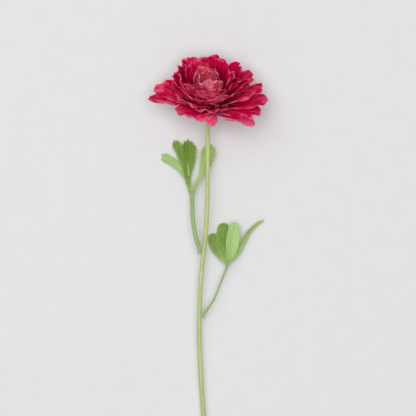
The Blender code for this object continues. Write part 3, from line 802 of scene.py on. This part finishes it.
def tube(shape, route, radii, profile, ends=(0.0, 0.0), pale=None):
    """Adds a closed tube to the shape: profile(around, along) scales the radius. ends are its cut shares,
    and pale is how pale the skin is at each point of the route."""
    layers = shape.verts.layers.float
    around_layer = layers.get("around") or layers.new("around")
    along_layer = layers.get("along") or layers.new("along")
    cut_layer = layers.get("cut") or layers.new("cut")
    steps = TUBE_STEPS
    last = len(route) - 1

    def ring(index, centre, scale, cut=0.0):
        heading = (route[min(index + 1, last)] - route[max(index - 1, 0)]).normalized()
        side = heading.cross(Vector((0, 0, 1))).normalized()
        up = side.cross(heading)
        made = []
        for n in range(steps):
            around = math.tau * n / steps
            reach = radii[index] * profile(around, index / last) * scale
            vert = shape.verts.new(centre + (side * math.cos(around) + up * math.sin(around)) * reach)
            vert[around_layer] = around if around < math.pi else math.tau - around
            vert[along_layer] = index / last
            vert[cut_layer] = cut
            made.append(vert)
        return made

    pale = pale or [0.0] * len(route)
    rings = [ring(n, route[n], 1.0, pale[n]) for n in range(len(route))]
    for end, index in ((0, 0), (1, last)):
        inwards = (route[1] - route[0]) if end == 0 else (route[-2] - route[-1])
        inwards = inwards.normalized() * radii[index]
        caps = [
            ring(index, route[index] - inwards * 0.05, 0.90, ends[end]),
            ring(index, route[index] + inwards * 0.02, 0.72, ends[end]),
            ring(index, route[index] + inwards * 0.10, 0.35, ends[end]),
        ]
        rings = [*reversed(caps), *rings] if end == 0 else [*rings, *caps]
    for one, two in zip(rings, rings[1:]):
        for n in range(steps):
            shape.faces.new((one[n], one[(n + 1) % steps], two[(n + 1) % steps], two[n]))
    shape.faces.new(list(reversed(rings[0])))
    shape.faces.new(rings[-1])


def in_row(points):
    """Points in mm from ROOT, as places in the row frame."""
    return [ROOT + Vector(point) * MM for point in points]


STEM_SKIN = stalk_material(
    "stem_skin", dark=(0.40, 0.50, 0.15), light=(0.58, 0.68, 0.28), pith=(0.62, 0.66, 0.42)
)
STEM_JOINT = 0.541  # the share of the stem's length at which a faint swelling with a pale ring is


def make_stem():
    neck = [HEAD @ Vector((0, 0, height * MM)) for height in (-3.5, -11)]
    route = smooth_route([*neck, *in_row(STEM_ROUTE)], 14)
    last = len(route) - 1
    radii = [
        STEM_RADIUS * (1 + 0.06 * n / last + 0.06 * math.exp(-(((n / last - STEM_JOINT) / 0.006) ** 2)))
        for n in range(last + 1)
    ]
    pale = [0.8 * math.exp(-(((n / last - STEM_JOINT - 0.004) / 0.005) ** 2)) for n in range(last + 1)]

    def profile(around, along):
        ribs = 0.022 * math.cos(9 * around + 6 * along)
        return 0.985 + ribs * 0.6 + 0.012 * math.sin(40 * along + 2 * around)

    shape = bmesh.new()
    tube(shape, route, radii, profile, (0.0, 1.0), pale)
    mesh = bpy.data.meshes.new("stem_fine")
    shape.to_mesh(mesh)
    shape.free()
    mesh.shade_smooth()
    piece("stem_fine", mesh, "stem", (STEM_SKIN,), "stem")


# --------------------------------------------------------------------------------------------- the leaves
# A lobe's middle line from its base; its half widths in mm from base to tip; how far it rolls sideways and
# its halves fold up, in degrees; how much its sides fall short of its tip; the number of its end teeth; their
# depth in mm; and its tone, from 0 dark to 1 light, partly the lobe's own colour and partly painted light and
# shade. Lines are in mm from ROOT.
Lobe = namedtuple("Lobe", "line widths roll fold shoulder teeth tooth tone")
Leaf = namedtuple("Leaf", "stalk stalk_radii lobes")
UPPER_LEAF = Leaf(
    stalk=(
        (-7.8, -142.6, 25.2),
        (-8.0, -137.4, 25.6),
        (-10.5, -130.2, 23.2),
        (-13.1, -117.8, 20.8),
        (-14.2, -105.4, 18.6),
        (-14.7, -93.0, 16.0),
        (-14.6, -85.0, 14.4),
    ),
    stalk_radii=(1.2, 1.8, 2.0, 1.9, 1.9, 1.9, 1.9),
    lobes=(
        Lobe(
            line=(
                (-14.6, -90.0, 15.4), (-18.0, -78.5, 12.8), (-19.0, -67.0, 10.6), (-18.4, -54.0, 8.4),
                (-18.4, -36.6, 5.4),
            ),
            widths=(1.6, 2.0, 3.4, 6.6, 8.0),
            roll=8, fold=14, shoulder=0.12, teeth=5, tooth=2.2, tone=0.08,
        ),
        Lobe(
            line=((-18.6, -71.0, 11.4), (-21.0, -61.0, 9.6), (-25.6, -49.0, 6.8), (-31.6, -37.2, 3.6)),
            widths=(2.0, 2.8, 4.2, 4.4),
            roll=-4, fold=8, shoulder=0.10, teeth=3, tooth=2.0, tone=0.30,
        ),
        Lobe(
            line=((-18.6, -76.0, 12.3), (-25.4, -65.0, 8.4), (-33.0, -57.5, 4.0), (-44.0, -51.6, 0.4)),
            widths=(1.5, 2.2, 3.9, 4.3),
            roll=-6, fold=10, shoulder=0.10, teeth=2.5, tooth=1.8, tone=0.80,
        ),
        Lobe(
            line=(
                (-14.6, -89.0, 15.2), (-10.6, -78.6, 13.4), (-5.2, -68.5, 11.6), (-1.4, -57.0, 9.6),
                (2.6, -40.8, 6.8),
            ),
            widths=(1.6, 1.9, 2.4, 5.4, 7.8),
            roll=-10, fold=12, shoulder=0.10, teeth=4, tooth=2.2, tone=0.80,
        ),
    ),
)
LOWER_LEAF = Leaf(
    stalk=(
        (-4.4, -202.0, 19.4),
        (-3.2, -197.6, 19.8),
        (-0.2, -193.4, 19.4),
        (4.6, -186.4, 18.8),
        (8.1, -178.8, 18.4),
        (11.6, -169.7, 17.2),
        (15.1, -161.3, 15.6),
        (18.9, -150.7, 13.4),
    ),
    stalk_radii=(1.1, 1.5, 1.3, 1.1, 1.0, 1.0, 1.0, 1.1),
    lobes=(
        Lobe(
            line=((17.8, -153.5, 13.9), (16.0, -142.0, 10.4), (14.4, -130.0, 7.0), (14.4, -114.0, 3.2)),
            widths=(1.2, 5.0, 7.2, 6.0),
            roll=-14, fold=12, shoulder=0.08, teeth=2, tooth=0.5, tone=0.25,
        ),
        Lobe(
            line=((17.8, -153.0, 13.8), (13.2, -144.0, 10.0), (6.8, -134.5, 5.6), (2.8, -124.0, 0.6)),
            widths=(1.2, 4.6, 5.8, 4.6),
            roll=-6, fold=10, shoulder=0.09, teeth=2, tooth=0.5, tone=0.3,
        ),
        Lobe(
            line=((18.2, -152.5, 14.1), (21.2, -140.0, 13.6), (23.0, -127.0, 13.8), (24.6, -113.6, 15.0)),
            widths=(1.2, 5.2, 7.0, 5.8),
            roll=10, fold=24, shoulder=0.1, teeth=2, tooth=0.5, tone=0.95,
        ),
        Lobe(
            line=(
                (18.6, -151.5, 13.6), (26.8, -141.0, 11.0), (34.8, -126.0, 8.0), (43.0, -117.0, 5.6),
                (52.0, -111.4, 3.6),
            ),
            widths=(1.2, 3.6, 4.0, 3.2, 1.6),
            roll=52, fold=20, shoulder=0.16, teeth=2, tooth=0.6, tone=0.7,
        ),
    ),
)
SIDE_TEETH = 46  # how quickly the small teeth follow each other along a lobe's sides
BASE_TONE = 0.62  # close to the stalk's colour: every lobe takes it on towards its base
LEAF_TOP = leaf_material(
    "leaf_top",
    dark=(0.160, 0.280, 0.030), light=(0.480, 0.660, 0.260), vein=(0.44, 0.58, 0.22), dusk=(0.21, 0.35, 0.06),
)
LEAF_UNDER = leaf_material(
    "leaf_under",
    dark=(0.24, 0.36, 0.11), light=(0.44, 0.58, 0.27), vein=(0.50, 0.62, 0.34), dusk=(0.30, 0.44, 0.16),
)
LEAF_STALK = stalk_material(
    "leaf_stalk", dark=(0.25, 0.38, 0.10), light=(0.39, 0.53, 0.20), pith=(0.5, 0.6, 0.3)
)
LEAF_FINISHES = (LEAF_UNDER, LEAF_TOP, LEAF_STALK)
STALK_FINISH = LEAF_FINISHES.index(LEAF_STALK)


def lobe_functions(lobe, seed):
    line = smooth_route(in_row(lobe.line), 8)
    widths = smooth_route([Vector((w * MM, 0, 0)) for w in lobe.widths], 8)
    last = len(line) - 1
    length = sum((b - a).length for a, b in zip(line, line[1:]))
    dice = random.Random(seed)
    phase = [dice.uniform(0, math.tau) for _ in range(4)]

    def at(values, share):
        low = min(int(share * last), last - 1)
        return values[low].lerp(values[low + 1], share * last - low)

    def place(across, along):
        wave = math.pi * (lobe.teeth * (across + 1) / 2 + 0.15 * math.sin(4 * across + phase[0]))
        tooth = lobe.tooth * MM / length * (1 - abs(math.sin(wave)) ** 0.9) * along**8
        share = along * (1 - lobe.shoulder * across**2) - tooth
        heading = (at(line, min(share + 0.04, 1)) - at(line, max(share - 0.04, 0))).normalized()
        side = heading.cross(Vector((0, 0, 1))).normalized()
        side = Matrix.Rotation(math.radians(lobe.roll), 3, heading) @ side
        up = side.cross(heading)
        fold = math.radians(lobe.fold)
        side_tooth = 1 - abs(math.sin(SIDE_TEETH * along + phase[1])) ** 0.9
        nick = lobe.tooth * MM * 0.7 * smooth_step((along - 0.6) / 0.15) * side_tooth
        half = at(widths, along).x - nick
        soft = math.sqrt(across**2 + 0.02) - math.sqrt(0.02)
        lift = half * soft * math.sin(fold)
        lift += 0.6 * MM * along**2 * math.sin(3.2 * across + 4 * along + phase[2])
        lift += 0.25 * MM * along * math.cos(11 * across + phase[3])
        return at(line, share) + half * across * math.cos(fold) * side + lift * up

    def facts(across, along):
        to_side = (1 - abs(across)) * at(widths, along).x / MM
        tone = BASE_TONE + (lobe.tone - BASE_TONE) * smooth_step(along / 0.6)
        tone += 0.25 * abs(across) ** 3 * along
        return {
            "across": across, "along": along, "margin": min(to_side, (1 - along) * length / MM), "tone": tone,
            "around": 0.0, "cut": 0.0,
        }

    return place, facts


def make_leaf(node, leaf, seed):
    """The stalk and the lobes joined as one piece. A lobe's sheet faces down, so LEAF_UNDER comes first."""
    whole = bmesh.new()
    for n, lobe in enumerate(leaf.lobes):
        place, facts = lobe_functions(lobe, seed + n)
        sheet = grid_mesh("sheet", 36, 96, place, facts)
        for finish in LEAF_FINISHES:
            sheet.materials.append(finish)
        helper = bpy.data.objects.new("helper", sheet)
        bpy.context.scene.collection.objects.link(helper)
        thicken(helper, LEAF_THICKNESS)
        graph = bpy.context.evaluated_depsgraph_get()
        solid = bpy.data.meshes.new_from_object(helper.evaluated_get(graph))
        whole.from_mesh(solid)
        bpy.data.objects.remove(helper)
        bpy.data.meshes.remove(solid)
    lobes_end = len(whole.faces)
    route = smooth_route(in_row(leaf.stalk), 10)
    radii = [r.x for r in smooth_route([Vector((r * MM, 0, 0)) for r in leaf.stalk_radii], 10)]

    def profile(around, along):
        """A groove runs along the upper side."""
        from_top = abs(around - math.pi / 2)
        return 1 - 0.22 * math.exp(-((from_top / 0.45) ** 2)) * smooth_step(along * 8)

    tube(whole, route, radii, profile)
    whole.faces.ensure_lookup_table()
    for face in whole.faces[lobes_end:]:
        face.material_index = STALK_FINISH
        face.smooth = True
    mesh = bpy.data.meshes.new(node + "_fine")
    whole.to_mesh(mesh)
    whole.free()
    piece(node + "_fine", mesh, "leaf", LEAF_FINISHES, node)


# ------------------------------------------------------------------------------------------------ the set
FLOOR_SIDE = 6.0
FLOOR_GAP = 0.1 * MM
WORLD_COLOUR = (0.97, 0.98, 1.0, 1)
WORLD_STRENGTH = 0.32
LAMPS = (  # name, place, watts and side of the square
    ("over", (-0.05, 0.12, 3.2), 61.5, 1.6),
    ("key", (-0.55, 0.65, 1.6), 3.6, 0.9),
)
LAMP_AIM = Vector((0, 0.07, 0))
VIEW_SIDE = 382.7 * MM  # how much of the plane at VIEW_HEIGHT the view takes in
VIEW_HEIGHT = 30 * MM
VIEW_BELOW = 100.3 * MM  # from ROOT to the view's middle, down the stem
CAMERA_DISTANCE = 2.6
SENSOR_WIDTH = 36


def make_floor():
    half = FLOOR_SIDE / 2
    corners = [(-half, -half, 0), (half, -half, 0), (half, half, 0), (-half, half, 0)]
    mesh = bpy.data.meshes.new("floor")
    mesh.from_pydata(corners, [], [(0, 1, 2, 3)])
    floor = bpy.data.objects.new("floor", mesh)
    bpy.context.scene.collection.objects.link(floor)
    floor.location.z = CAD_LOW.z - FLOOR_GAP
    g = Graph("floor")
    paper = g.noise(g.place(), 60.0, 5.0, 0.6)
    shade = g.mix(g.spread(paper, 0.3, 0.7), (0.79, 0.79, 0.80), (0.81, 0.81, 0.815))
    grain = g.bump(paper, 0.2 * MM, 0.15)
    mesh.materials.append(g.finish_with(Base_Color=shade, Roughness=0.9, Normal=grain))


def make_light():
    world = bpy.data.worlds.new("studio")
    bpy.context.scene.world = world
    world.use_nodes = True
    background = world.node_tree.nodes["Background"]
    background.inputs["Color"].default_value = WORLD_COLOUR
    background.inputs["Strength"].default_value = WORLD_STRENGTH
    for name, place, energy, size in LAMPS:
        lamp = bpy.data.lights.new(name, "AREA")
        lamp.energy = energy
        lamp.size = size
        made = bpy.data.objects.new(name, lamp)
        bpy.context.scene.collection.objects.link(made)
        made.location = place
        made.rotation_mode = "QUATERNION"
        made.rotation_quaternion = (LAMP_AIM - made.location).to_track_quat("-Z", "Y")
    bpy.context.scene.view_settings.view_transform = "Standard"


def make_camera():
    """Straight above, with a long lens. The view's middle is below the head, by the upper leaf."""
    data = bpy.data.cameras.new("camera")
    camera = bpy.data.objects.new("camera", data)
    bpy.context.scene.collection.objects.link(camera)
    data.sensor_width = SENSOR_WIDTH
    data.lens = SENSOR_WIDTH * CAMERA_DISTANCE / VIEW_SIDE
    data.clip_end = 50
    camera.location = (ROOT.x, ROOT.y - VIEW_BELOW, VIEW_HEIGHT + CAMERA_DISTANCE)
    bpy.context.scene.camera = camera


make_camera()
make_petals()
make_sepals()
make_core()
make_stem()
make_leaf("leaf_upper", UPPER_LEAF, 40)
make_leaf("leaf_lower", LOWER_LEAF, 50)
make_floor()
make_light()
